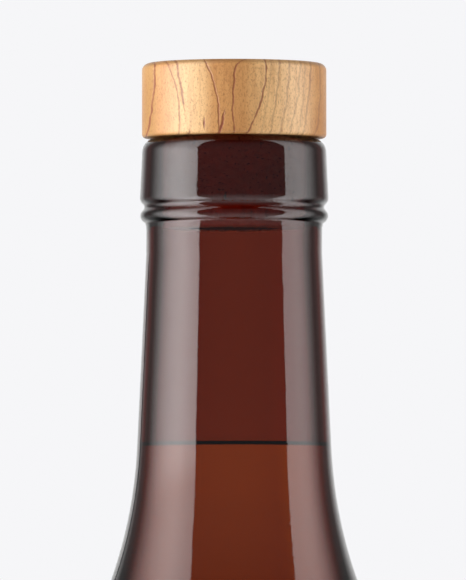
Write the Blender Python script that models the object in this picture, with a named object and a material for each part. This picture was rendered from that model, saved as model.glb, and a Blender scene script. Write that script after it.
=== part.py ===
"""A round glass bottle with a drink in it, closed by a stopper with a wood head and a cork shank.

Frame: metres, +Z up along the bottle's axis, origin at the middle of the ring that the bottle stands on.
Every piece is turned: its outline is a list of (radius, height) points, swept round the Z axis.
"""

import math

import bmesh
import bpy

# Sizes below are in millimetres and angles in degrees; MM turns them into metres.
MM = 0.001
SEGMENTS = 48  # facets round every turned piece
GAP = 0.3  # between pieces that touch on the real object

HEIGHT = 240.0
WALL = 2.6

# Stopper
HEAD_RADIUS = 15.5
HEAD_HEIGHT = 12.3
HEAD_TOP_EDGE = 1.25
HEAD_BOTTOM_EDGE = 0.6
RECESS_DEPTH = 5.0
CORK_RADIUS = 11.8
CORK_REACH = 15.2  # below the bottle's rim
CORK_EDGE = 0.7

# Mouth: a tapered collar, a groove and a bead
RIM = HEIGHT - HEAD_HEIGHT - GAP
BORE_RADIUS = CORK_RADIUS + GAP
BORE_EDGE = 0.6
COLLAR_TOP_RADIUS = 15.49
COLLAR_TOP_EDGE = 2.35
COLLAR_FOOT_RADIUS = 15.85
COLLAR_FOOT_EDGE = 1.45
COLLAR_FOOT_DROP = 9.98  # below the rim, as are the other drops, to the middle of a round edge
GROOVE_RADIUS = 15.12
GROOVE_ROUND = 0.64
GROOVE_DROP = 11.6
BEAD_RADIUS = 15.79
BEAD_ROUND = 1.11
BEAD_DROP = 12.98
FILLET_RADIUS = 14.92
FILLET_ROUND = 0.35
FILLET_DROP = 14.38
EASE_ANGLE = 12.0  # by which the glass under the bead still draws in
EASE_DROP = 15.1

# Neck: upright for a little way under the bead, as its bore is, then a straight taper
NECK_TOP_RADIUS = 14.78
NECK_TOP = 208.0
NECK_FOOT_RADIUS = 16.32
NECK_FOOT = 175.5

# Shoulder: a hollow arc that flares out of the neck, then a full arc that ends upright at the body
FLARE_RADIUS = 78.0
STEEPEST = 28.0
BODY_RADIUS = 38.0

# Base: a rounded heel, a flat ring to stand on and a domed push-up
HEEL_ROUND = 6.0
RING_WIDTH = 2.0
PUSH_UP_EDGE = 1.2
PUSH_UP_RADIUS = 28.5
PUSH_UP_FOOT = 1.0
PUSH_UP_HEIGHT = 5.0
FLOOR_THICKNESS = 4.0
INNER_HEEL_ROUND = 7.0

DRINK_LEVEL = 176.0

NECK_LEAN = math.degrees(math.atan2(NECK_FOOT_RADIUS - NECK_TOP_RADIUS, NECK_TOP - NECK_FOOT))


def polar(centre, radius, degrees):
    """The point at an angle on a circle in the outline's plane. 0 is away from the axis and 90 is up."""
    angle = math.radians(degrees)
    return centre[0] + radius * math.cos(angle), centre[1] + radius * math.sin(angle)


def arc(centre, radius, start, end, steps):
    return [polar(centre, radius, start + (end - start) * i / steps) for i in range(steps + 1)]


def bearing(centre, point):
    """The angle at which one point lies from another, from -90 to 270."""
    return (math.degrees(math.atan2(point[1] - centre[1], point[0] - centre[0])) + 90) % 360 - 90


def flank_turn(upper, upper_radius, lower, lower_radius):
    """How far the straight flank that crosses between two round edges turns from their line of centres."""
    return math.degrees(math.acos((upper_radius + lower_radius) / math.dist(upper, lower)))


FLARE_CENTRE = polar((NECK_FOOT_RADIUS, NECK_FOOT), FLARE_RADIUS, NECK_LEAN)
FLARE_END = polar(FLARE_CENTRE, FLARE_RADIUS, 180 + STEEPEST)
SHOULDER_RADIUS = (BODY_RADIUS - FLARE_END[0]) / (1 - math.cos(math.radians(STEEPEST)))
SHOULDER_CENTRE = polar(FLARE_END, SHOULDER_RADIUS, 180 + STEEPEST)

PUSH_UP_RISE = PUSH_UP_HEIGHT - PUSH_UP_FOOT
DOME_RADIUS = (PUSH_UP_RADIUS**2 + PUSH_UP_RISE**2) / (2 * PUSH_UP_RISE)
DOME_CENTRE = (0.0, PUSH_UP_HEIGHT - DOME_RADIUS)


def neck_radius(height):
    """The outer radius of the neck's taper."""
    return NECK_FOOT_RADIUS - (height - NECK_FOOT) * math.tan(math.radians(NECK_LEAN))


def mouth():
    """The outside of the collar, groove and bead, down to the neck: arcs joined by straight flanks."""
    collar_top = (COLLAR_TOP_RADIUS - COLLAR_TOP_EDGE, RIM - COLLAR_TOP_EDGE)
    foot = (COLLAR_FOOT_RADIUS - COLLAR_FOOT_EDGE, RIM - COLLAR_FOOT_DROP)
    groove = (GROOVE_RADIUS + GROOVE_ROUND, RIM - GROOVE_DROP)
    bead = (BEAD_RADIUS - BEAD_ROUND, RIM - BEAD_DROP)
    fillet = (FILLET_RADIUS + FILLET_ROUND, RIM - FILLET_DROP)
    foot_end = bearing(foot, groove) + flank_turn(foot, COLLAR_FOOT_EDGE, groove, GROOVE_ROUND)
    groove_end = bearing(groove, bead) - flank_turn(groove, GROOVE_ROUND, bead, BEAD_ROUND)
    bead_end = bearing(bead, fillet) + flank_turn(bead, BEAD_ROUND, fillet, FILLET_ROUND)
    return (
        arc(collar_top, COLLAR_TOP_EDGE, 90, 0, 4)
        + arc(foot, COLLAR_FOOT_EDGE, 0, foot_end, 2)
        + arc(groove, GROOVE_ROUND, foot_end + 180, groove_end, 2)
        + arc(bead, BEAD_ROUND, groove_end - 180, bead_end, 4)
        + arc(fillet, FILLET_ROUND, bead_end + 180, 180 - EASE_ANGLE, 2)
        + [(NECK_TOP_RADIUS, RIM - EASE_DROP), (NECK_TOP_RADIUS, NECK_TOP)]
    )


def shoulder(inset):
    """The neck's flare and the shoulder, from the top down, at a distance inside the glass's outer face."""
    flare = arc(FLARE_CENTRE, FLARE_RADIUS + inset, 180 + NECK_LEAN, 180 + STEEPEST, 6)
    full = arc(SHOULDER_CENTRE, SHOULDER_RADIUS - inset, STEEPEST, 0, 7)
    return flare + full[1:]


def base():
    """The outside of the heel, standing ring and push-up, ending on the axis."""
    ring_outer = BODY_RADIUS - HEEL_ROUND
    ring_inner = ring_outer - RING_WIDTH
    dome_edge = math.degrees(math.acos(PUSH_UP_RADIUS / DOME_RADIUS))
    return (
        arc((ring_outer, HEEL_ROUND), HEEL_ROUND, 0, -90, 5)
        + arc((ring_inner, PUSH_UP_EDGE), PUSH_UP_EDGE, -90, -150, 2)
        + arc(DOME_CENTRE, DOME_RADIUS, dome_edge, 90, 5)
    )


def floor(inset):
    """The inside of the heel and floor, ending on the axis, at a distance inside the glass's inner face."""
    floor_radius = DOME_RADIUS + FLOOR_THICKNESS
    heel_r = BODY_RADIUS - WALL - INNER_HEEL_ROUND
    heel_z = DOME_CENTRE[1] + math.sqrt((floor_radius + INNER_HEEL_ROUND) ** 2 - heel_r**2)
    lean = math.degrees(math.atan2(heel_z - DOME_CENTRE[1], heel_r))
    return (
        arc((heel_r, heel_z), INNER_HEEL_ROUND - inset, 0, lean - 180, 5)
        + arc(DOME_CENTRE, floor_radius + inset, lean, 90, 4)[1:]
    )


def bore():
    """The inside of the mouth: a rounded edge at the rim, then straight down to the neck's top."""
    edge = (BORE_RADIUS + BORE_EDGE, RIM - BORE_EDGE)
    return arc(edge, BORE_EDGE, 90, 180, 2) + [(BORE_RADIUS, NECK_TOP)]


def turned(name, outline, material, parent=None):
    """A closed solid of revolution. Its outline is (radius, height) points in millimetres that run from
    axis to axis, or close on themselves."""
    mesh = bpy.data.meshes.new(name)
    bm = bmesh.new()
    verts = [bm.verts.new((r * MM, 0.0, z * MM)) for r, z in outline]
    edges = [bm.edges.new(pair) for pair in zip(verts, verts[1:])]
    if min(r for r, _ in outline) > GAP:
        edges.append(bm.edges.new((verts[-1], verts[0])))
    geom = verts + edges
    bmesh.ops.spin(
        bm, geom=geom, axis=(0, 0, 1), cent=(0, 0, 0), angle=math.tau, steps=SEGMENTS, use_merge=True
    )
    bmesh.ops.remove_doubles(bm, verts=bm.verts, dist=1e-6)
    bmesh.ops.recalc_face_normals(bm, faces=bm.faces)
    bm.to_mesh(mesh)
    bm.free()
    mesh.shade_smooth()
    mesh.set_sharp_from_angle(angle=math.radians(35))
    mesh.materials.append(material)
    piece = bpy.data.objects.new(name, mesh)
    piece.parent = parent
    bpy.context.collection.objects.link(piece)
    return piece


def material(name, colour, roughness, transmission=0.0, ior=1.45):
    made = bpy.data.materials.new(name)
    made.use_nodes = True
    shader = made.node_tree.nodes["Principled BSDF"]
    shader.inputs["Base Color"].default_value = (*colour, 1.0)
    shader.inputs["Roughness"].default_value = roughness
    shader.inputs["Metallic"].default_value = 0.0
    shader.inputs["Transmission Weight"].default_value = transmission
    shader.inputs["IOR"].default_value = ior
    return made


def glass_bottle():
    """The bottle is one piece of glass: outside down from the rim, then inside down to the floor."""
    outside = mouth() + shoulder(0) + base()
    inside = bore() + shoulder(WALL) + floor(0)
    amber = material("amber_glass", (0.30, 0.09, 0.02), 0.03, transmission=1.0, ior=1.52)
    return turned("glass_bottle", outside[::-1] + inside, amber)


def drink():
    """The liquid, clear of the glass by GAP, with a level top."""
    surface = [(0.0, DRINK_LEVEL), (neck_radius(DRINK_LEVEL) - WALL - GAP, DRINK_LEVEL)]
    brown = material("drink", (0.25, 0.07, 0.015), 0.03, transmission=1.0, ior=1.34)
    return turned("drink", surface + shoulder(WALL + GAP) + floor(GAP), brown)


def stopper_head(parent):
    """A wood disc over the rim, with a blind recess for the cork. Heights are from the rim."""
    foot = GAP
    top = foot + HEAD_HEIGHT
    outline = (
        [(0.0, top)]
        + arc((HEAD_RADIUS - HEAD_TOP_EDGE, top - HEAD_TOP_EDGE), HEAD_TOP_EDGE, 90, 0, 3)
        + arc((HEAD_RADIUS - HEAD_BOTTOM_EDGE, foot + HEAD_BOTTOM_EDGE), HEAD_BOTTOM_EDGE, 0, -90, 2)
        + [(CORK_RADIUS + GAP, foot), (CORK_RADIUS + GAP, foot + RECESS_DEPTH), (0.0, foot + RECESS_DEPTH)]
    )
    return turned("stopper_head", outline, material("wood", (0.72, 0.45, 0.22), 0.5), parent)


def cork_shank(parent):
    """A cork plug, from the roof of the head's recess down into the bore. Heights are from the rim."""
    top = RECESS_DEPTH
    outline = (
        [(0.0, top), (CORK_RADIUS, top)]
        + arc((CORK_RADIUS - CORK_EDGE, CORK_EDGE - CORK_REACH), CORK_EDGE, 0, -90, 2)
        + [(0.0, -CORK_REACH)]
    )
    return turned("cork_shank", outline, material("cork", (0.55, 0.36, 0.20), 0.8), parent)


def main():
    for old in list(bpy.data.objects):
        bpy.data.objects.remove(old)
    stopper = bpy.data.objects.new("stopper", None)  # slides along the bottle's axis
    stopper.location.z = RIM * MM
    bpy.context.collection.objects.link(stopper)
    glass_bottle()
    drink()
    stopper_head(stopper)
    cork_shank(stopper)


main()
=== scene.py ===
"""Looks of the stoppered glass bottle: fine meshes, node materials, a soft studio and the camera.

Outlines are lists of (distance from the axis, height) in millimetres, in the frame of the CAD model.
"""

import math

import bpy
from mathutils import Euler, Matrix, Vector, noise


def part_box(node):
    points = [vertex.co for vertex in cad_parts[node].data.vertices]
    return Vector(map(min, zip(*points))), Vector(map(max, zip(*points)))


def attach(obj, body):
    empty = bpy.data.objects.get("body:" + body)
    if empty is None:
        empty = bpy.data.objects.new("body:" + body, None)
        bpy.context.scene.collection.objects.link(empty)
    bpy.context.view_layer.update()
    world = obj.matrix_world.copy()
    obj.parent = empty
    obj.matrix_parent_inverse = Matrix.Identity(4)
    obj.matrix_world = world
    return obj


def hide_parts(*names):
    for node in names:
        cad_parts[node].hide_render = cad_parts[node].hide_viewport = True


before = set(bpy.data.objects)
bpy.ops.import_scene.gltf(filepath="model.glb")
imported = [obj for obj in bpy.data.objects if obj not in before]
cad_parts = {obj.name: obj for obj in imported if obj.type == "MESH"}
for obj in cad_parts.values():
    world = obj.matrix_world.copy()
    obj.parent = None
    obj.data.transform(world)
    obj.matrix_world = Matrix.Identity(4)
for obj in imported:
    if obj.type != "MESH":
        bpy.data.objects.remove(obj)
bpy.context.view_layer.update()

MM = 0.001
SIDES = 192  # facets round every turned piece


def box_mm(node):
    """A CAD node's greatest distance from the axis, its lowest height and its highest height."""
    low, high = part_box(node)
    return high.x / MM, low.z / MM, high.z / MM


BODY_RADIUS, _, RIM = box_mm("glass_bottle")
DRINK_RADIUS, _, DRINK_LEVEL = box_mm("drink")
HEAD_RADIUS, HEAD_FOOT, HEAD_TOP = box_mm("stopper_head")
CORK_RADIUS, CORK_FOOT, CORK_TOP = box_mm("cork_shank")
HEAD_HEIGHT = HEAD_TOP - HEAD_FOOT

# Clearances in the looks are finer than the CAD model's
CAD_GAP = 0.3
SEAT_GAP = 0.03
WALL = BODY_RADIUS - DRINK_RADIUS - CAD_GAP

# Mouth. Drops are below the rim
BORE_RADIUS = CORK_RADIUS + CAD_GAP
BORE_EDGE = 0.6
COLLAR_TOP_RADIUS = 15.49
COLLAR_TOP_EDGE = 2.35
COLLAR_FOOT_RADIUS = 15.85
COLLAR_FOOT_EDGE = 1.45
COLLAR_FOOT_DROP = 9.98
GROOVE_RADIUS = 15.12
GROOVE_ROUND = 0.64
GROOVE_DROP = 11.6
BEAD_RADIUS = 15.79
BEAD_ROUND = 1.11
BEAD_DROP = 13.05
BELLY_ROUND = 1.5  # of the bead's lower side
BELLY_START = -20.0  # degrees from level
BELLY_END = -56.0
CORNER_RADIUS = 14.92  # from the axis to the corner under the bead
CORNER_DROP = 14.34
EASE_DROP = 15.1

NECK_TOP_RADIUS = 14.78
NECK_TOP = RIM - 19.4
NECK_FOOT_RADIUS = 16.32
NECK_FOOT = RIM - 51.9
FLARE_RADIUS = 78.0
STEEPEST = 28.0

HEEL_ROUND = 6.0
RING_OUTER = BODY_RADIUS - HEEL_ROUND  # of the standing ring
RING_INNER = RING_OUTER - 2.0
PUSH_UP_EDGE = 1.2
PUSH_UP_RADIUS = 28.5
PUSH_UP_FOOT = 1.0
PUSH_UP_HEIGHT = 5.0
FLOOR_THICKNESS = 4.0
INNER_HEEL_ROUND = 7.0

LIQUID_LEVEL = DRINK_LEVEL - 0.5
MENISCUS = 0.66  # radius of the round edge by which the liquid climbs the glass
WETTING = 0.012  # overlap of the liquid with the glass, so that no film of air lies between

SEAM_BEARINGS = (105.0, 285.0)  # from the front, where the two halves of the mould meet
SEAM_HALF_WIDTH = 0.9  # degrees
SEAM_HEIGHT = 0.06
RING_NOTCH = 0.18  # depth of the standing ring's notches
NOTCH_EDGE = 0.6
WAVE_HEIGHT = 0.07  # of the slow waves in the inner wall
WAVE_ROUND = 1.3
WAVE_LENGTH = 17.0

HEAD_SEAT = 0.05
HEAD_TOP_EDGE = 1.25
HEAD_BOTTOM_EDGE = 0.6
CORK_EDGE = 0.35
FOOT_PITTING = 0.25  # share of the side's pits that the cork's foot has
PIT_SCALE = Vector((0.85, 0.85, 0.85 * 1.7))  # per millimetre, so that the pits are wider than they are high
PIT_START = 0.42  # noise above this is a pit
PIT_STEEPNESS = 1.6
PIT_DEPTH = 0.45
CORK_GRAIN = 0.03


# ---------------------------------------------------------------- outlines


def polar(centre, radius, degrees):
    angle = math.radians(degrees)
    return centre[0] + radius * math.cos(angle), centre[1] + radius * math.sin(angle)


def arc(centre, radius, start, end, spacing):
    steps = max(3, math.ceil(abs(math.radians(end - start)) * radius / spacing))
    return [polar(centre, radius, start + (end - start) * i / steps) for i in range(steps + 1)]


def line(start, end, spacing):
    steps = max(1, math.ceil(math.dist(start, end) / spacing))
    return [
        (start[0] + (end[0] - start[0]) * i / steps, start[1] + (end[1] - start[1]) * i / steps)
        for i in range(steps + 1)
    ]


def bearing(centre, point):
    """The angle at which one point lies from another, from -90 to 270."""
    return (math.degrees(math.atan2(point[1] - centre[1], point[0] - centre[0])) + 90) % 360 - 90


def flank_turn(shaded_up_high, upper_radius, lower, lower_radius):
    """How far the straight flank that crosses between two round edges turns from their line of centres."""
    return math.degrees(math.acos((upper_radius + lower_radius) / math.dist(shaded_up_high, lower)))


def joined(*runs):
    """Runs of points end to end, without the points that repeat the one before."""
    outline = []
    for point in (p for run in runs for p in run):
        if not outline or math.dist(outline[-1], point) > 1e-4:
            outline.append(point)
    return outline


NECK_LEAN = math.degrees(math.atan2(NECK_FOOT_RADIUS - NECK_TOP_RADIUS, NECK_TOP - NECK_FOOT))
FLARE_CENTRE = polar((NECK_FOOT_RADIUS, NECK_FOOT), FLARE_RADIUS, NECK_LEAN)
FLARE_END = polar(FLARE_CENTRE, FLARE_RADIUS, 180 + STEEPEST)
SHOULDER_RADIUS = (BODY_RADIUS - FLARE_END[0]) / (1 - math.cos(math.radians(STEEPEST)))
SHOULDER_CENTRE = polar(FLARE_END, SHOULDER_RADIUS, 180 + STEEPEST)
PUSH_UP_RISE = PUSH_UP_HEIGHT - PUSH_UP_FOOT
DOME_RADIUS = (PUSH_UP_RADIUS**2 + PUSH_UP_RISE**2) / (2 * PUSH_UP_RISE)
DOME_CENTRE = (0.0, PUSH_UP_HEIGHT - DOME_RADIUS)


def mouth():
    """The outside of the collar, groove and bead, from the rim's top to the neck.

    Straight flanks join the arcs, and a sharp corner and a short slope lead from the bead to the neck.
    """
    collar_top = (COLLAR_TOP_RADIUS - COLLAR_TOP_EDGE, RIM - COLLAR_TOP_EDGE)
    foot = (COLLAR_FOOT_RADIUS - COLLAR_FOOT_EDGE, RIM - COLLAR_FOOT_DROP)
    groove = (GROOVE_RADIUS + GROOVE_ROUND, RIM - GROOVE_DROP)
    bead = (BEAD_RADIUS - BEAD_ROUND, RIM - BEAD_DROP)
    belly = polar(bead, BEAD_ROUND - BELLY_ROUND, BELLY_START)
    ease_end = (NECK_TOP_RADIUS, RIM - EASE_DROP)
    foot_end = bearing(foot, groove) + flank_turn(foot, COLLAR_FOOT_EDGE, groove, GROOVE_ROUND)
    groove_end = bearing(groove, bead) - flank_turn(groove, GROOVE_ROUND, bead, BEAD_ROUND)
    fine = 0.08
    return joined(
        arc(collar_top, COLLAR_TOP_EDGE, 90, 0, 0.2),
        line((COLLAR_TOP_RADIUS, collar_top[1]), (COLLAR_FOOT_RADIUS, foot[1]), 0.8),
        arc(foot, COLLAR_FOOT_EDGE, 0, foot_end, fine),
        arc(groove, GROOVE_ROUND, foot_end + 180, groove_end, fine),
        arc(bead, BEAD_ROUND, groove_end - 180, BELLY_START, fine),
        arc(belly, BELLY_ROUND, BELLY_START, BELLY_END, fine),
        line((CORNER_RADIUS, RIM - CORNER_DROP), ease_end, 0.12),
        line(ease_end, (NECK_TOP_RADIUS, NECK_TOP), 0.8),
    )


def shoulder(inset, spacing=1.6):
    """The flare and the shoulder from the top down, at a distance inside the glass's outer face."""
    return joined(
        arc(FLARE_CENTRE, FLARE_RADIUS + inset, 180 + NECK_LEAN, 180 + STEEPEST, spacing),
        arc(SHOULDER_CENTRE, SHOULDER_RADIUS - inset, STEEPEST, 0, spacing),
    )


def base():
    """The outside of the heel, standing ring and push-up, ending on the axis."""
    dome_edge = math.degrees(math.acos(PUSH_UP_RADIUS / DOME_RADIUS))
    return joined(
        arc((RING_OUTER, HEEL_ROUND), HEEL_ROUND, 0, -90, 0.5),
        line((RING_OUTER, 0.0), (RING_INNER, 0.0), 0.5),
        arc((RING_INNER, PUSH_UP_EDGE), PUSH_UP_EDGE, -90, -150, 0.2),
        arc(DOME_CENTRE, DOME_RADIUS, dome_edge, 90, 1.8),
    )


def inner_floor(inset):
    """The inside of the heel and floor, ending on the axis, at a distance inside the glass's inner face."""
    floor_radius = DOME_RADIUS + FLOOR_THICKNESS
    heel_r = BODY_RADIUS - WALL - INNER_HEEL_ROUND
    heel_z = DOME_CENTRE[1] + math.sqrt((floor_radius + INNER_HEEL_ROUND) ** 2 - heel_r**2)
    lean = math.degrees(math.atan2(heel_z - DOME_CENTRE[1], heel_r))
    return joined(
        arc((heel_r, heel_z), INNER_HEEL_ROUND - inset, 0, lean - 180, 0.8),
        arc(DOME_CENTRE, floor_radius + inset, lean, 90, 1.8),
    )


def bore():
    """The inside of the mouth: a rounded edge at the rim, then straight down to the neck's top."""
    edge = (BORE_RADIUS + BORE_EDGE, RIM - BORE_EDGE)
    wall = line((BORE_RADIUS, edge[1]), (BORE_RADIUS, NECK_TOP), 1.6)
    return joined(arc(edge, BORE_EDGE, 90, 180, 0.2), wall)


def bore_radius(height):
    """The neck's inner radius, in a straight taper from the bore down to the flare."""
    share = (NECK_TOP - height) / (NECK_TOP - NECK_FOOT)
    return BORE_RADIUS + share * (NECK_FOOT_RADIUS - WALL - BORE_RADIUS)


def inner_neck(top, inset):
    """The neck's inner face from a height down to the flare."""
    ends = [(bore_radius(z) - inset, z) for z in (top, NECK_FOOT + 0.1)]
    return line(*ends, 1.6)


# ---------------------------------------------------------------- meshes


def ring_bearings(extra=()):
    """Bearings of a mesh's ribs in degrees, evenly round the axis and at extra places for detail."""
    even = [360.0 * i / SIDES for i in range(SIDES)]
    return sorted(set(even) | set(extra))


def turned(name, outline, bearings, shape=None):
    """A mesh swept round the axis from an outline. shape, where given, moves its points."""
    verts, rows, faces = [], [], []
    for r, z in outline:
        row = []
        for degrees in bearings if r > 1e-6 else bearings[:1]:
            radius, height = shape(r, z, degrees) if shape else (r, z)
            angle = math.radians(degrees)
            row.append(len(verts))
            verts.append((radius * MM * math.sin(angle), -radius * MM * math.cos(angle), height * MM))
        rows.append(row)
    for a, b in zip(rows, rows[1:]):
        for i in range(len(bearings)):
            j = (i + 1) % len(bearings)
            corners = list(dict.fromkeys((a[i % len(a)], b[i % len(b)], b[j % len(b)], a[j % len(a)])))
            if len(corners) > 2:
                faces.append(corners)
    mesh = bpy.data.meshes.new(name)
    mesh.from_pydata(verts, [], faces)
    mesh.shade_smooth()
    mesh.update()
    piece = bpy.data.objects.new(name, mesh)
    bpy.context.scene.collection.objects.link(piece)
    return piece


def smooth_step(value, start, end):
    share = min(max((value - start) / (end - start), 0.0), 1.0)
    return share * share * (3 - 2 * share)


def glass_shape(r, z, degrees):
    """Mould seams, a notched standing ring and the slow waves of a blown inner wall."""
    if r <= inner_radius(z) + 0.3 and z < NECK_TOP:
        angle = math.radians(degrees)
        place = Vector((math.sin(angle) * WAVE_ROUND, math.cos(angle) * WAVE_ROUND, z / WAVE_LENGTH))
        calm = smooth_step(NECK_TOP - z, 0.0, 12.0) * smooth_step(r, 2.0, 12.0)
        return r + WAVE_HEIGHT * calm * (noise.noise(place) - 0.3), z
    if z < 0.01:
        notch = RING_NOTCH if round(degrees * SIDES / 360.0) % 2 else 0.0
        inside = smooth_step(r, RING_INNER, RING_INNER + NOTCH_EDGE)
        outside = 1 - smooth_step(r, RING_OUTER - NOTCH_EDGE, RING_OUTER)
        return r, z + notch * inside * outside
    off_seam = min(abs(degrees - seam) for seam in SEAM_BEARINGS)
    if off_seam < SEAM_HALF_WIDTH and z < NECK_TOP:
        swell = smooth_step(z, HEEL_ROUND, HEEL_ROUND + 4) * smooth_step(NECK_TOP - z, 0.0, 3.0)
        return r + SEAM_HEIGHT * swell * (1 - off_seam / SEAM_HALF_WIDTH), z
    return r, z


def inner_radius(z):
    """Roughly where the inner wall is, for telling inner points from outer ones."""
    if z < HEEL_ROUND:
        return -1.0 if z < PUSH_UP_HEIGHT + 0.5 else BODY_RADIUS - WALL
    if z > NECK_FOOT:
        return bore_radius(z)
    if z < SHOULDER_CENTRE[1]:
        return BODY_RADIUS - WALL
    if z < FLARE_END[1]:
        across = SHOULDER_RADIUS - WALL
        return SHOULDER_CENTRE[0] + math.sqrt(across**2 - (z - SHOULDER_CENTRE[1]) ** 2) + 0.5
    across = FLARE_RADIUS + WALL
    return FLARE_CENTRE[0] - math.sqrt(across**2 - (z - FLARE_CENTRE[1]) ** 2) + 0.5


def build_glass():
    outside = joined(
        mouth(),
        line((NECK_TOP_RADIUS, NECK_TOP), (NECK_FOOT_RADIUS, NECK_FOOT), 1.6),
        shoulder(0),
        line((BODY_RADIUS, SHOULDER_CENTRE[1]), (BODY_RADIUS, HEEL_ROUND), 3.0),
        base(),
    )
    inside = joined(bore(), inner_neck(NECK_TOP, 0), shoulder(WALL), inner_floor(0))
    shares = (-1.0, -0.5, 0.0, 0.5, 1.0)
    seams = [seam + SEAM_HALF_WIDTH * share for seam in SEAM_BEARINGS for share in shares]
    return turned("bottle_glass", joined(inside[::-1], outside), ring_bearings(seams), glass_shape)


def build_drink():
    """The liquid, which wets the wall and is drawn up it at the edge."""
    climb = LIQUID_LEVEL + MENISCUS
    wall = bore_radius(climb) + WETTING
    outline = joined(
        line((0.0, LIQUID_LEVEL), (wall - MENISCUS, LIQUID_LEVEL), 1.0),
        arc((wall - MENISCUS, climb), MENISCUS, -90, -2, 0.04),
        inner_neck(climb, -WETTING),
        shoulder(WALL - WETTING),
        inner_floor(-WETTING),
    )

    def shape(r, z, degrees):
        if z > LIQUID_LEVEL - 0.01 and r < wall - 0.1:
            return r, z
        return glass_shape(r, z, degrees)

    return turned("bottle_drink", outline, ring_bearings(), shape)


def build_head():
    foot = RIM + HEAD_SEAT
    recess = CORK_RADIUS + CAD_GAP
    roof = CORK_TOP + CAD_GAP
    top_edge = (HEAD_RADIUS - HEAD_TOP_EDGE, HEAD_TOP - HEAD_TOP_EDGE)
    low_edge = (HEAD_RADIUS - HEAD_BOTTOM_EDGE, foot + HEAD_BOTTOM_EDGE)
    outline = joined(
        line((0.0, HEAD_TOP), (top_edge[0], HEAD_TOP), 0.8),
        arc(top_edge, HEAD_TOP_EDGE, 90, 0, 0.15),
        line((HEAD_RADIUS, top_edge[1]), (HEAD_RADIUS, low_edge[1]), 0.6),
        arc(low_edge, HEAD_BOTTOM_EDGE, 0, -90, 0.12),
        line((low_edge[0], foot), (recess, foot), 0.8),
        line((recess, foot), (recess, roof), 1.0),
        line((recess, roof), (0.0, roof), 1.5),
    )
    return turned("stopper_wood", outline, ring_bearings())


def cork_shape(r, z, degrees):
    """Open pores of the cork: short level slits, pushed in over its side and barely over its foot."""
    if r < 0.5 or z > CORK_TOP - 1.0:
        return r, z
    angle = math.radians(degrees)
    place = Vector((math.sin(angle) * r, math.cos(angle) * r, z)) * PIT_SCALE
    pit = max(0.0, noise.noise(place) - PIT_START) * PIT_STEEPNESS
    grain = CORK_GRAIN * noise.noise(place * 3.1)
    depth = min(pit, PIT_DEPTH) + CORK_GRAIN + grain
    if z < CORK_FOOT + 0.01:
        return r, z + FOOT_PITTING * depth
    return r - depth, z


def build_cork():
    seat = BORE_RADIUS - SEAT_GAP
    edge = (seat - CORK_EDGE, CORK_FOOT + CORK_EDGE)
    outline = joined(
        line((0.0, CORK_TOP), (seat, CORK_TOP), 1.5),
        line((seat, CORK_TOP), (seat, edge[1]), 0.3),
        arc(edge, CORK_EDGE, 0, -90, 0.2),
        line((edge[0], CORK_FOOT), (0.0, CORK_FOOT), 0.3),
    )
    return turned("stopper_cork", outline, ring_bearings(), cork_shape)


# ---------------------------------------------------------------- node shorthand


class Graph:
    """Short calls for building a node tree. A value can be a number, a tuple or another node's output."""

    def __init__(self, tree):
        self.tree = tree
        self.tree.nodes.clear()

    def node(self, kind, inputs=None, **settings):
        made = self.tree.nodes.new(kind)
        for key, value in settings.items():
            setattr(made, key, value)
        for key, value in (inputs or {}).items():
            self.feed(made.inputs[key], value)
        return made

    def feed(self, socket, value):
        if isinstance(value, bpy.types.NodeSocket):
            self.tree.links.new(value, socket)
        elif isinstance(value, tuple) and socket.type == "RGBA" and len(value) == 3:
            socket.default_value = (*value, 1.0)
        else:
            socket.default_value = value

    def math(self, operation, a, b=0.0, c=0.0, clamp=False):
        inputs = {0: a, 1: b, 2: c}
        return self.node("ShaderNodeMath", inputs, operation=operation, use_clamp=clamp).outputs[0]

    def add(self, a, b):
        return self.math("ADD", a, b)

    def times(self, a, b):
        return self.math("MULTIPLY", a, b)

    def step(self, value, start, end):
        """0 before start, 1 after end, and smooth between; end may be the lower one."""
        low, high, first, last = (start, end, 0.0, 1.0) if start < end else (end, start, 1.0, 0.0)
        inputs = {"Value": value, "From Min": low, "From Max": high, "To Min": first, "To Max": last}
        return self.node("ShaderNodeMapRange", inputs, interpolation_type="SMOOTHSTEP").outputs["Result"]

    def parts(self, vector):
        """The x, y and z of a vector."""
        return tuple(self.node("ShaderNodeSeparateXYZ", {0: vector}).outputs)

    def off_axis(self, x, y):
        """The distance from the upright axis."""
        return self.math("SQRT", self.add(self.times(x, x), self.times(y, y)))

    def surface(self, shader, body=None):
        """Make a shader the material's surface, and another one its body."""
        output = self.node("ShaderNodeOutputMaterial", {"Surface": shader})
        if body is not None:
            self.feed(output.inputs["Volume"], body)

    def grey(self, value):
        return self.node("ShaderNodeCombineColor", {0: value, 1: value, 2: value}).outputs[0]

    def scaled(self, vector, scale):
        return self.node("ShaderNodeVectorMath", {0: vector, 1: scale}, operation="MULTIPLY").outputs[0]

    def noise(self, vector, scale, detail=2.0, roughness=0.5, distortion=0.0):
        inputs = {"Vector": vector, "Scale": scale, "Detail": detail, "Roughness": roughness,
                  "Distortion": distortion}
        return self.node("ShaderNodeTexNoise", inputs).outputs["Fac"]

    def noise_4d(self, vector, w):
        inputs = {"Vector": vector, "W": w, "Scale": 1.0, "Detail": 2.0}
        return self.node("ShaderNodeTexNoise", inputs, noise_dimensions="4D").outputs["Fac"]

    def mix(self, share, a, b, blend="MIX"):
        inputs = {0: share, 6: a, 7: b}
        return self.node("ShaderNodeMix", inputs, data_type="RGBA", blend_type=blend).outputs[2]

    def bump(self, height, distance, strength=1.0, normal=None):
        inputs = {"Height": height, "Distance": distance, "Strength": strength}
        if normal is not None:
            inputs["Normal"] = normal
        return self.node("ShaderNodeBump", inputs).outputs["Normal"]

    def place_mm(self):
        """The piece's own coordinates in millimetres."""
        coordinates = self.node("ShaderNodeTexCoord").outputs["Object"]
        return self.scaled(coordinates, (1 / MM, 1 / MM, 1 / MM))


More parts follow.
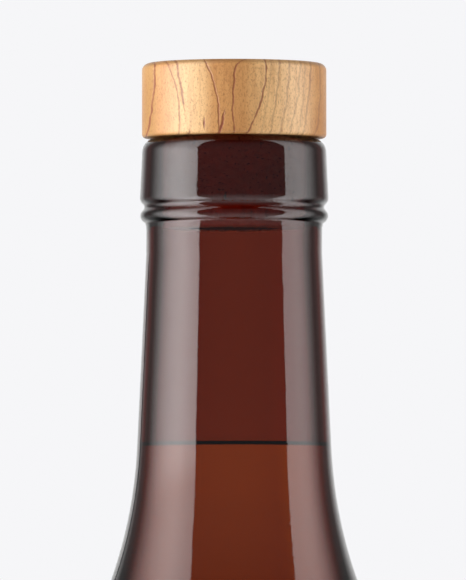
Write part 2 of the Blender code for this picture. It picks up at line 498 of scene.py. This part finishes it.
def new_material(name):
    made = bpy.data.materials.new(name)
    made.use_nodes = True
    return made, Graph(made.node_tree)


def linear(value):
    share = value / 255
    return share / 12.92 if value <= 10 else ((share + 0.055) / 1.055) ** 2.4


def srgb(red, green, blue):
    """A colour given as 0 to 255 screen values."""
    return linear(red), linear(green), linear(blue)


# ---------------------------------------------------------------- materials

GLASS_IOR = 1.52
DRINK_IOR = 1.343
GLASS_DENSITY = 1100.0  # with the colour, how much each metre of glass absorbs
GLASS_COLOUR = (0.682, 0.291, 0.03)
DRINK_DENSITY = 6.0
DRINK_COLOUR = (1.0, 0.8, 0.2)
# Painted shade: the grey tint that darkens the neck's inside above the liquid
PAINTED_SHADE_TINT = (0.64, 0.63, 0.63)
INNER_FACE_LIMIT = 13.9  # further from the axis than the neck's inside, nearer than its outside
UNEVEN_HEIGHT = 0.000007  # metres
MENISCUS_SHADE_COLOUR = (0.0002, 0.0002, 0.0003)  # painted shade: near-black colour of the liquid where it climbs the wall, for the dark line of the meniscus


def clear_shader(g, colour, ior, roughness, normal=None):
    inputs = {"Base Color": colour, "Roughness": roughness, "IOR": ior, "Transmission Weight": 1.0}
    if normal is not None:
        inputs["Normal"] = normal
    return g.node("ShaderNodeBsdfPrincipled", inputs).outputs[0]


def absorbing_body(g, colour, density):
    return g.node("ShaderNodeVolumeAbsorption", {"Color": colour, "Density": density}).outputs[0]


def glass_material():
    """Amber glass, coloured through its body and a little uneven outside.

    Painted shade: a grey tint on the inner face of the neck, between the liquid and the cork, darkens the
    light through it, most at the front and back.
    """
    made, g = new_material("amber_glass")
    place = g.place_mm()
    x, y, z = g.parts(place)
    off_axis = g.off_axis(x, y)
    # Painted shade: a grey tint on the neck's inner face above the liquid and below the cork, weaker at the
    # sides
    inside = g.step(off_axis, INNER_FACE_LIMIT + 0.2, INNER_FACE_LIMIT)
    painted_shade = g.times(inside, g.step(z, LIQUID_LEVEL, LIQUID_LEVEL + 0.2))
    painted_shade = g.times(painted_shade, g.step(z, CORK_FOOT, CORK_FOOT - 0.2))
    less_shade_at_sides = g.step(g.math("ABSOLUTE", x), 5.5, 8.0)
    painted_shade = g.times(painted_shade, g.math("MULTIPLY_ADD", less_shade_at_sides, -0.3, 1.0))
    colour = g.mix(painted_shade, (1.0, 1.0, 1.0), PAINTED_SHADE_TINT)
    smudge = g.noise(g.scaled(place, (0.09, 0.09, 0.05)), 1.0, 3.0)
    roughness = g.times(g.step(smudge, 0.35, 0.75), 0.03)
    uneven = g.noise(g.scaled(place, (1.6, 1.6, 3.0)), 1.0, 1.0)
    uneven = g.times(uneven, g.step(off_axis, INNER_FACE_LIMIT, INNER_FACE_LIMIT + 0.2))
    shader = clear_shader(g, colour, GLASS_IOR, roughness, g.bump(uneven, UNEVEN_HEIGHT))
    body = absorbing_body(g, GLASS_COLOUR, GLASS_DENSITY)
    g.surface(shader, body)
    return made


def drink_material():
    """Clear brown liquid; where it climbs the wall its surface is painted near black, a painted shade for
    the dark line of the meniscus.
    """
    made, g = new_material("brown_drink")
    place = g.place_mm()
    haze = g.noise(g.scaled(place, (0.05, 0.05, 0.05)), 1.0, 2.0)
    colour = g.mix(haze, (1.0, 0.985, 0.96), (1.0, 1.0, 1.0))
    # Painted shade: the liquid's surface above its level is near black, for the dark line of the meniscus
    colour = g.mix(g.step(g.parts(place)[2], LIQUID_LEVEL + 0.02, LIQUID_LEVEL + 0.06), colour, MENISCUS_SHADE_COLOUR)
    shader = clear_shader(g, colour, DRINK_IOR, 0.0)
    body = absorbing_body(g, DRINK_COLOUR, DRINK_DENSITY)
    g.surface(shader, body)
    return made


WOOD_EDGE = srgb(175, 134, 76)
WOOD_DARK = srgb(196, 134, 74)
WOOD_MID = srgb(219, 162, 100)
WOOD_PALE = srgb(243, 198, 136)
SAPWOOD = srgb(252, 203, 140)
GRAIN_BEND = 0.012  # how much the grain's sheets curve inside the head, per millimetre
VEIN_WOBBLE = 0.9
HOOK_FALL = 20.0  # the larger, the nearer to the top a hook has straightened
SEED_STEP = 3.7
STRENGTH_SEED = 1.9
WOOD_IOR = 1.56

# Each vein is a sheet through the head: where it crosses the front at the top and bottom edges, how far it
# bows sideways in between, how far it hooks away at the top, its width, its depth of colour, and its upper
# and lower ends as shares of the head's height. Lengths are in millimetres.
RED_VEINS = (
    (-13.2, -14.6, 0.35, 0.0, 0.25, 0.85, -0.1, 1.1),
    (-11.3, -9.1, 0.75, -0.3, 0.22, 0.65, -0.1, 1.1),
    (-9.7, -7.9, 0.20, 0.0, 0.28, 0.75, -0.1, 0.78),
    (-4.9, -2.7, 0.95, 0.0, 0.22, 0.75, -0.1, 1.1),
    (0.15, 0.05, -0.25, 2.4, 0.23, 0.85, -0.1, 1.1),
    (5.4, 2.3, 0.85, 0.0, 0.24, 0.85, -0.1, 1.1),
    (-5.6, -5.0, 0.0, 0.0, 0.26, 1.00, 0.76, 0.99),
    (0.5, -2.3, 0.0, 0.0, 0.36, 1.00, 0.66, 1.0),
    (-8.2, -7.4, 0.0, 0.0, 0.30, 0.90, 0.94, 1.1),
)
GREY_VEINS = (
    (6.4, 4.6, 0.10, 0.0, 0.22, 0.35, -0.1, 1.1),
    (7.7, 6.0, 0.25, 0.0, 0.26, 0.60, -0.1, 1.1),
    (9.3, 7.6, 0.40, 0.0, 0.26, 0.50, -0.1, 1.1),
    (11.1, 9.3, 0.35, 0.0, 0.24, 0.50, -0.1, 1.1),
    (11.9, 10.7, 0.30, 0.0, 0.22, 0.40, -0.1, 1.1),
    (12.9, 11.6, 0.25, 0.0, 0.24, 0.65, -0.1, 1.1),
    (14.2, 13.5, 0.60, 0.0, 0.22, 0.60, -0.1, 1.1),
)


def vein_sheets(g, across, along, drop, veins, seed):
    """The strongest of several veins at each point.

    across is the distance over the grain, along is where the veins' wobble is looked up, and drop is the
    share of the head's height from the top down.
    """
    strongest = 0.0
    for number, (top, bottom, bow, hook, width, depth, start, end) in enumerate(veins):
        centre = g.math("MULTIPLY_ADD", drop, bottom - top, top)
        if bow:
            arch = g.times(drop, g.math("SUBTRACT", 1.0, drop))
            centre = g.math("MULTIPLY_ADD", arch, 4 * bow, centre)
        if hook:
            centre = g.math("MULTIPLY_ADD", g.math("EXPONENT", g.times(drop, -HOOK_FALL)), hook, centre)
        vein_seed = seed + SEED_STEP * number
        wobble = g.noise_4d(along, vein_seed)
        centre = g.add(centre, g.math("MULTIPLY_ADD", wobble, VEIN_WOBBLE, -VEIN_WOBBLE / 2))
        off = g.math("ABSOLUTE", g.math("SUBTRACT", across, centre))
        strength = g.noise_4d(g.scaled(along, (1.0, 2.2, 2.2)), vein_seed + STRENGTH_SEED)
        reach = g.times(g.math("MULTIPLY_ADD", strength, 1.3, 0.35), width)
        if start > 0:
            reach = g.times(reach, g.step(drop, start, (start + end) / 2))
        if end < 1:
            reach = g.times(reach, g.step(drop, end, (max(start, end - 0.4) + end) / 2))
        reach = g.math("MAXIMUM", reach, 0.001)
        mask = g.step(g.math("DIVIDE", off, reach), 1.0, 0.25)
        mask = g.times(mask, g.times(g.math("MULTIPLY_ADD", strength, 1.2, 0.35, clamp=True), depth))
        strongest = g.math("MAXIMUM", strongest, mask)
    return strongest


def wood_material():
    """Turned hardwood, grain upright, with sheets of red and grey veins that also cross the top."""
    made, g = new_material("oiled_wood")
    place = g.place_mm()
    x, y, z = g.parts(place)
    drop = g.math("DIVIDE", g.math("SUBTRACT", HEAD_TOP, z), HEAD_HEIGHT)
    inside = g.math("SUBTRACT", HEAD_RADIUS**2, g.add(g.times(x, x), g.times(y, y)))
    across = g.math("MULTIPLY_ADD", inside, GRAIN_BEND, x)
    along = g.scaled(place, (0.0, 0.16, 0.42))
    red = vein_sheets(g, across, along, drop, RED_VEINS, 2.0)
    grey = vein_sheets(g, across, along, drop, GREY_VEINS, 61.0)

    grained = g.node("ShaderNodeCombineXYZ", {0: across, 1: y, 2: z}).outputs[0]
    broad = g.noise(g.scaled(grained, (0.16, 0.05, 0.06)), 1.0, 2.0)
    streak = g.noise(g.scaled(grained, (1.6, 0.25, 0.16)), 1.0, 3.0, 0.6, 0.3)
    speck = g.noise(g.scaled(grained, (3.6, 3.6, 2.2)), 1.0, 3.0, 0.7)
    pore = g.noise(g.scaled(grained, (6.0, 6.0, 1.4)), 1.0, 1.0)

    pale = g.times(g.step(across, -12.4, -8.2), g.step(across, -3.2, -5.6))
    sapwood = g.times(g.step(across, 1.2, 5.6), g.step(across, 14.2, 10.8))
    colour = g.mix(g.step(broad, 0.3, 0.7), WOOD_DARK, WOOD_MID)
    colour = g.mix(g.times(g.step(across, -12.0, -14.0), 0.6), colour, WOOD_EDGE)
    colour = g.mix(g.times(pale, 0.82), colour, WOOD_PALE)
    colour = g.mix(sapwood, colour, SAPWOOD)
    colour = g.mix(g.times(g.step(streak, 0.42, 0.72), 0.3), colour, srgb(178, 112, 58))
    colour = g.mix(g.times(g.step(speck, 0.48, 0.68), 0.5), colour, srgb(160, 96, 48))
    colour = g.mix(g.times(g.step(pore, 0.62, 0.72), 0.38), colour, srgb(120, 70, 36))
    colour = g.mix(g.times(grey, 0.72), colour, srgb(142, 88, 62))
    colour = g.mix(g.times(red, 0.9), colour, srgb(128, 52, 28))
    top_edge = g.step(z, HEAD_TOP - 1.0, HEAD_TOP - 0.35)
    colour = g.mix(g.times(top_edge, 0.5), colour, srgb(120, 82, 44))

    height = g.math("SUBTRACT", g.times(speck, 0.4), g.add(g.times(red, 0.8), g.times(grey, 0.4)))
    normal = g.bump(height, 0.00006)
    roughness = g.math("MULTIPLY_ADD", speck, 0.12, 0.34)
    inputs = {"Base Color": colour, "Roughness": roughness, "Normal": normal, "IOR": WOOD_IOR}
    shader = g.node("ShaderNodeBsdfPrincipled", inputs).outputs[0]
    g.surface(shader)
    return made


DUST = srgb(58, 36, 24)
STAIN = srgb(46, 26, 18)
# Painted shade: the darker cork colour towards the head
CORK_SHADE_COLOUR = srgb(112, 80, 52)


def cork_material():
    """Fine cork: pale brown grains and dark dust, stained under its foot, with painted shade making it
    darker towards the head and lighter towards the foot.
    """
    made, g = new_material("natural_cork")
    place = g.place_mm()
    grains = g.node("ShaderNodeTexVoronoi", {"Vector": g.scaled(place, (1.0, 1.0, 1.5)), "Scale": 0.9})
    tone = g.parts(grains.outputs["Color"])[0]
    soft = g.noise(place, 0.5, 4.0, 0.6)
    dust = g.noise(g.scaled(place, (1.0, 1.0, 1.4)), 1.9, 2.0, 0.6)
    colour = g.mix(tone, srgb(224, 176, 126), srgb(240, 204, 154))
    colour = g.mix(g.times(g.step(soft, 0.5, 0.8), 0.6), colour, srgb(190, 138, 94))
    x, y, z = g.parts(place)
    off_axis = g.off_axis(x, y)
    cleaner_foot = g.math("MULTIPLY_ADD", g.step(z, CORK_FOOT + 3.0, CORK_FOOT + 5.5), 0.85, 0.15)
    colour = g.mix(g.times(g.step(dust, 0.61, 0.68), cleaner_foot), colour, DUST)
    # Painted shade: darker up towards the head and most just under the rim, lighter towards the foot
    shaded_up_high = g.times(g.step(z, CORK_FOOT + 1.5, CORK_FOOT + 6.0), 0.52)
    shaded_up_high = g.math("MULTIPLY_ADD", g.step(z, RIM - 3.0, RIM - 0.8), 0.4, shaded_up_high)
    colour = g.mix(shaded_up_high, colour, CORK_SHADE_COLOUR)
    stained = g.times(g.step(z, CORK_FOOT + 1.0, CORK_FOOT + 0.8), g.step(off_axis, 8.2, 7.2))
    colour = g.mix(stained, colour, STAIN)
    normal = g.bump(g.math("SUBTRACT", soft, g.step(dust, 0.62, 0.74)), 0.00015)
    inputs = {"Base Color": colour, "Roughness": g.math("MULTIPLY_ADD", soft, 0.2, 0.7), "Normal": normal}
    shader = g.node("ShaderNodeBsdfPrincipled", inputs).outputs[0]
    g.surface(shader)
    return made


# ---------------------------------------------------------------- studio

BACKDROP = srgb(246, 246, 248)
LEFT_SOFTBOX = 6.35  # brightness, where the backdrop is about 0.93
RIGHT_SOFTBOX = 3.1
FLAGS = 0.22  # brightness of the dark panels beside the backdrop and of the room in front
UP_THERE = (0.04, 0.04, 0.04)
DOWN_THERE = (0.02, 0.02, 0.02)
INSIDE_LIGHT = 1.75  # on what stands inside the glass
INSIDE_SLOPE = -0.45  # that light's change from the middle to the right
WET_LIGHT = (0.93, 1.36, 0.9)  # behind the liquid
SIDE_LIGHT = (1.35, 2.6, 0.9)  # behind the liquid, just inside the silhouette
DRY_CROSSINGS = 4.5  # light that passes more surfaces than this has crossed the liquid

# Bearings in degrees between which an edge of a softbox or a panel comes up from nothing
LEFT_FRONT = (46.2, 47.0)
LEFT_REAR = (128.0, 70.0)
RIGHT_FRONT = (65.7, 66.3)
RIGHT_REAR = (126.0, 84.0)
PANEL_FRONT = (116.0, 124.0)
DRY_PANEL_REAR = (161.0, 149.0)
WET_PANEL_REAR = (148.0, 135.0)
SIDE_FRONT = (146.0, 155.0)
SIDE_REAR = (169.0, 160.0)
TOP_AHEAD = 104.0  # height in degrees of the softboxes' soft top, if they went on to straight ahead
TOP_FALL = -0.62  # per degree to the side
TOP_LEAST = 20.0

FLOOR_GAP = 0.0001  # metres between the bottle's foot and the floor


def softboxes(g, to_right, rise):
    """Brightness of the two upright softboxes: hard edges towards the camera and soft ones elsewhere."""
    to_left = g.times(to_right, -1.0)
    top = g.math("MULTIPLY_ADD", g.math("ABSOLUTE", to_right), TOP_FALL, TOP_AHEAD)
    top = g.math("MAXIMUM", top, TOP_LEAST)
    over = g.math("POWER", g.math("DIVIDE", g.math("MAXIMUM", rise, 0.0), top), 4.0)
    tall = g.times(g.math("DIVIDE", 1.0, g.add(over, 1.0)), g.step(rise, -72.0, -48.0))
    left = g.times(g.step(to_left, *LEFT_FRONT), g.step(to_left, *LEFT_REAR))
    left = g.times(left, g.math("MULTIPLY_ADD", g.step(to_left, 44.0, 70.0), 0.28, 0.72))
    left = g.times(left, g.math("MULTIPLY_ADD", g.step(rise, 6.5, 16.5), -0.27, 1.0))
    right = g.times(g.step(to_right, *RIGHT_FRONT), g.step(to_right, *RIGHT_REAR))
    return g.times(g.add(g.times(left, LEFT_SOFTBOX), g.times(right, RIGHT_SOFTBOX)), tall)


def room_behind_and_ahead(g, aside, rise, y):
    """Brightness of the backdrop and of the room in front, which is dimmer up high than low down."""
    height = g.times(g.step(rise, 45.0, 30.0), g.step(rise, -38.0, -14.0))
    backdrop = g.times(g.times(g.step(aside, 131.0, 161.0), height), BACKDROP[0])
    inputs = {"Value": rise, "From Min": 0.0, "From Max": -70.0, "To Min": FLAGS, "To Max": 1.2}
    dim = g.node("ShaderNodeMapRange", inputs).outputs["Result"]
    under = g.times(g.step(rise, -12.0, -40.0), g.step(y, 0.25, 0.55))
    dim = g.times(dim, g.times(g.step(rise, 75.0, 24.0), g.math("SUBTRACT", 1.0, under)))
    return g.math("MAXIMUM", dim, backdrop)


def light_through(g, crossings, aside, rise):
    """Where light through the glass comes from: the backdrop, with dark panels beside, above and below it.

    Light that crosses the liquid has the panels further to the side, and is warmer, most of all just inside
    the silhouette.
    """
    wet = g.step(crossings, DRY_CROSSINGS, DRY_CROSSINGS + 1.0)
    dry_panel = g.times(g.step(aside, *DRY_PANEL_REAR), g.math("SUBTRACT", 1.0, wet))
    wet_panel = g.times(g.step(aside, *WET_PANEL_REAR), wet)
    panel = g.times(g.step(aside, *PANEL_FRONT), g.add(dry_panel, wet_panel))
    sides = g.times(wet, g.times(g.step(aside, *SIDE_REAR), g.step(aside, *SIDE_FRONT)))
    colour = g.mix(wet, BACKDROP, WET_LIGHT)
    colour = g.mix(sides, colour, SIDE_LIGHT)
    colour = g.mix(panel, colour, (FLAGS, FLAGS, FLAGS))
    colour = g.mix(g.step(rise, 25.0, 40.0), colour, UP_THERE)
    return g.mix(g.step(rise, -36.0, -48.0), colour, DOWN_THERE)


def build_world():
    """A studio with a pale backdrop, an upright softbox on each side and a dim room in front.

    Bearings are from the camera's side of the bottle, so the backdrop is at 180 degrees. The camera sees the
    plain backdrop on all sides. Reflections see the whole studio.
    """
    world = bpy.data.worlds.new("studio")
    world.use_nodes = True
    bpy.context.scene.world = world
    g = Graph(world.node_tree)
    x, y, z = g.parts(g.node("ShaderNodeTexCoord").outputs["Generated"])
    degree = 180 / math.pi
    to_right = g.times(g.math("ARCTAN2", x, g.times(y, -1.0)), degree)
    aside = g.math("ABSOLUTE", to_right)
    rise = g.times(g.math("ARCSINE", z), degree)
    grey = g.add(softboxes(g, to_right, rise), room_behind_and_ahead(g, aside, rise, y))
    soft = g.math("MULTIPLY_ADD", x, INSIDE_SLOPE * INSIDE_LIGHT, INSIDE_LIGHT)

    path = g.node("ShaderNodeLightPath").outputs
    through_glass = path["Is Transmission Ray"]
    diffused = path["Diffuse Depth"]
    from_inside = g.times(through_glass, g.math("MINIMUM", diffused, 1.0))
    straight = g.math("SUBTRACT", through_glass, diffused, clamp=True)
    colour = g.mix(from_inside, g.grey(grey), g.grey(soft))
    colour = g.mix(straight, colour, light_through(g, path["Transmission Depth"], aside, rise))
    colour = g.mix(path["Is Camera Ray"], colour, BACKDROP)
    light = g.node("ShaderNodeBackground", {"Color": colour, "Strength": 1.0}).outputs[0]
    g.node("ShaderNodeOutputWorld", {"Surface": light})


def build_floor():
    """A round pale floor that fades into the backdrop."""
    radii = (0.0, 200.0, 600.0, 1600.0)
    floor = turned("studio_floor", [(radius, 0.0) for radius in radii], ring_bearings())
    floor.data.flip_normals()
    made, g = new_material("floor_paint")
    place = g.node("ShaderNodeTexCoord").outputs["Object"]
    away = g.node("ShaderNodeVectorMath", {0: place}, operation="LENGTH").outputs["Value"]
    mottle = g.noise(place, 40.0, 2.0)
    colour = g.mix(mottle, (0.83, 0.83, 0.84), (0.85, 0.85, 0.86))
    paint = g.node("ShaderNodeBsdfDiffuse", {"Color": colour}).outputs[0]
    clear = g.node("ShaderNodeBsdfTransparent").outputs[0]
    shader = g.node("ShaderNodeMixShader", {0: g.step(away, 0.45, 1.5), 1: paint, 2: clear}).outputs[0]
    g.surface(shader)
    floor.data.materials.append(made)
    floor.location.z = -FLOOR_GAP
    floor.visible_glossy = False
    floor.visible_transmission = False


def build_camera():
    """A very long lens, level with the middle of the bottle, looking a little up at the neck."""
    view_distance = 2.0988
    eye_height = 0.1205
    aim_height = 0.2019
    side_step = -0.0002
    data = bpy.data.cameras.new("camera")
    data.sensor_width = 36.0
    data.lens = 775.9
    data.clip_start = 0.1
    data.clip_end = 50.0
    camera = bpy.data.objects.new("camera", data)
    camera.location = (side_step, -view_distance, eye_height)
    tilt = math.atan2(aim_height - eye_height, view_distance)
    camera.rotation_euler = Euler((math.pi / 2 + tilt, 0.0, 0.0))
    bpy.context.scene.collection.objects.link(camera)
    bpy.context.scene.camera = camera


def set_light_paths():
    scene = bpy.context.scene
    scene.view_settings.view_transform = "Standard"
    scene.cycles.max_bounces = 24
    scene.cycles.transmission_bounces = 24
    scene.cycles.glossy_bounces = 12
    scene.cycles.transparent_max_bounces = 16
    scene.cycles.diffuse_bounces = 4


# ---------------------------------------------------------------- assembly


def fit(piece, material, node, body):
    piece.data.materials.append(material)
    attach(piece, body)
    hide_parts(node)


fit(build_glass(), glass_material(), "glass_bottle", "bottle")
fit(build_drink(), drink_material(), "drink", "bottle")
fit(build_head(), wood_material(), "stopper_head", "stopper")
fit(build_cork(), cork_material(), "cork_shank", "stopper")
build_world()
build_floor()
build_camera()
set_light_paths()
